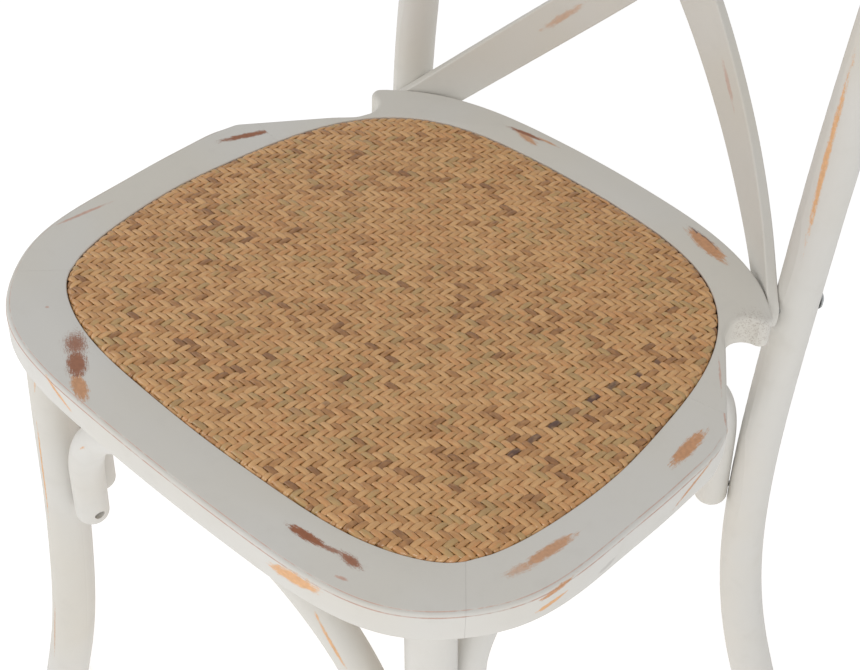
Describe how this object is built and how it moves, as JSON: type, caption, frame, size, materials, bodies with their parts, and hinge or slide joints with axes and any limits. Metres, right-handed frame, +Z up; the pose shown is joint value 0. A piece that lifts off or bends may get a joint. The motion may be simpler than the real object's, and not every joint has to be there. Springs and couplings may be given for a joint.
{
  "type": "dining chair",
  "caption": "Painted bentwood dining chair with crossed flat back slats, a curved top rail, a rounded hoop back and a twill-woven rattan seat.",
  "frame": {"origin": "on the floor, midway between left and right and midway between the seat's front edge and the back hoop's rearmost point", "axes": "+Z up, the chair faces -Y, +X is to the right of someone facing the chair"},
  "size_m": [0.481, 0.4778, 0.872],
  "materials": {
    "painted_wood": "satin off-white paint, rubbed through to brown wood in patches and along edges",
    "bare_wood": "plain",
    "plywood": "plain",
    "rattan": "clear varnished woven rattan strips, satin",
    "steel": "zinc plated",
    "glide": "matte"
  },
  "bodies": {
    "root": {"back_hoop": "painted_wood", "front_leg_left": "painted_wood", "front_leg_right": "painted_wood", "seat_frame_front": "painted_wood", "seat_frame_left": "painted_wood", "seat_frame_right": "painted_wood", "seat_frame_rear": "painted_wood", "cross_slat_left": "painted_wood", "cross_slat_right": "painted_wood", "top_rail": "painted_wood", "arch_front": "painted_wood", "arch_left": "painted_wood", "arch_right": "painted_wood", "frame_dowels": "bare_wood", "seat_board": "plywood", "rattan_mat": "rattan", "hoop_bolts": "steel", "hoop_bolt_washers": "steel", "hoop_barrel_nuts": "steel", "rail_bolts": "steel", "rail_bolt_washers": "steel", "arch_end_screws": "steel", "arch_crown_screws": "steel", "slat_end_screws": "steel", "slat_crossing_screw": "steel", "board_screws": "steel", "foot_glides": "glide"}
  },
  "joints": []
}
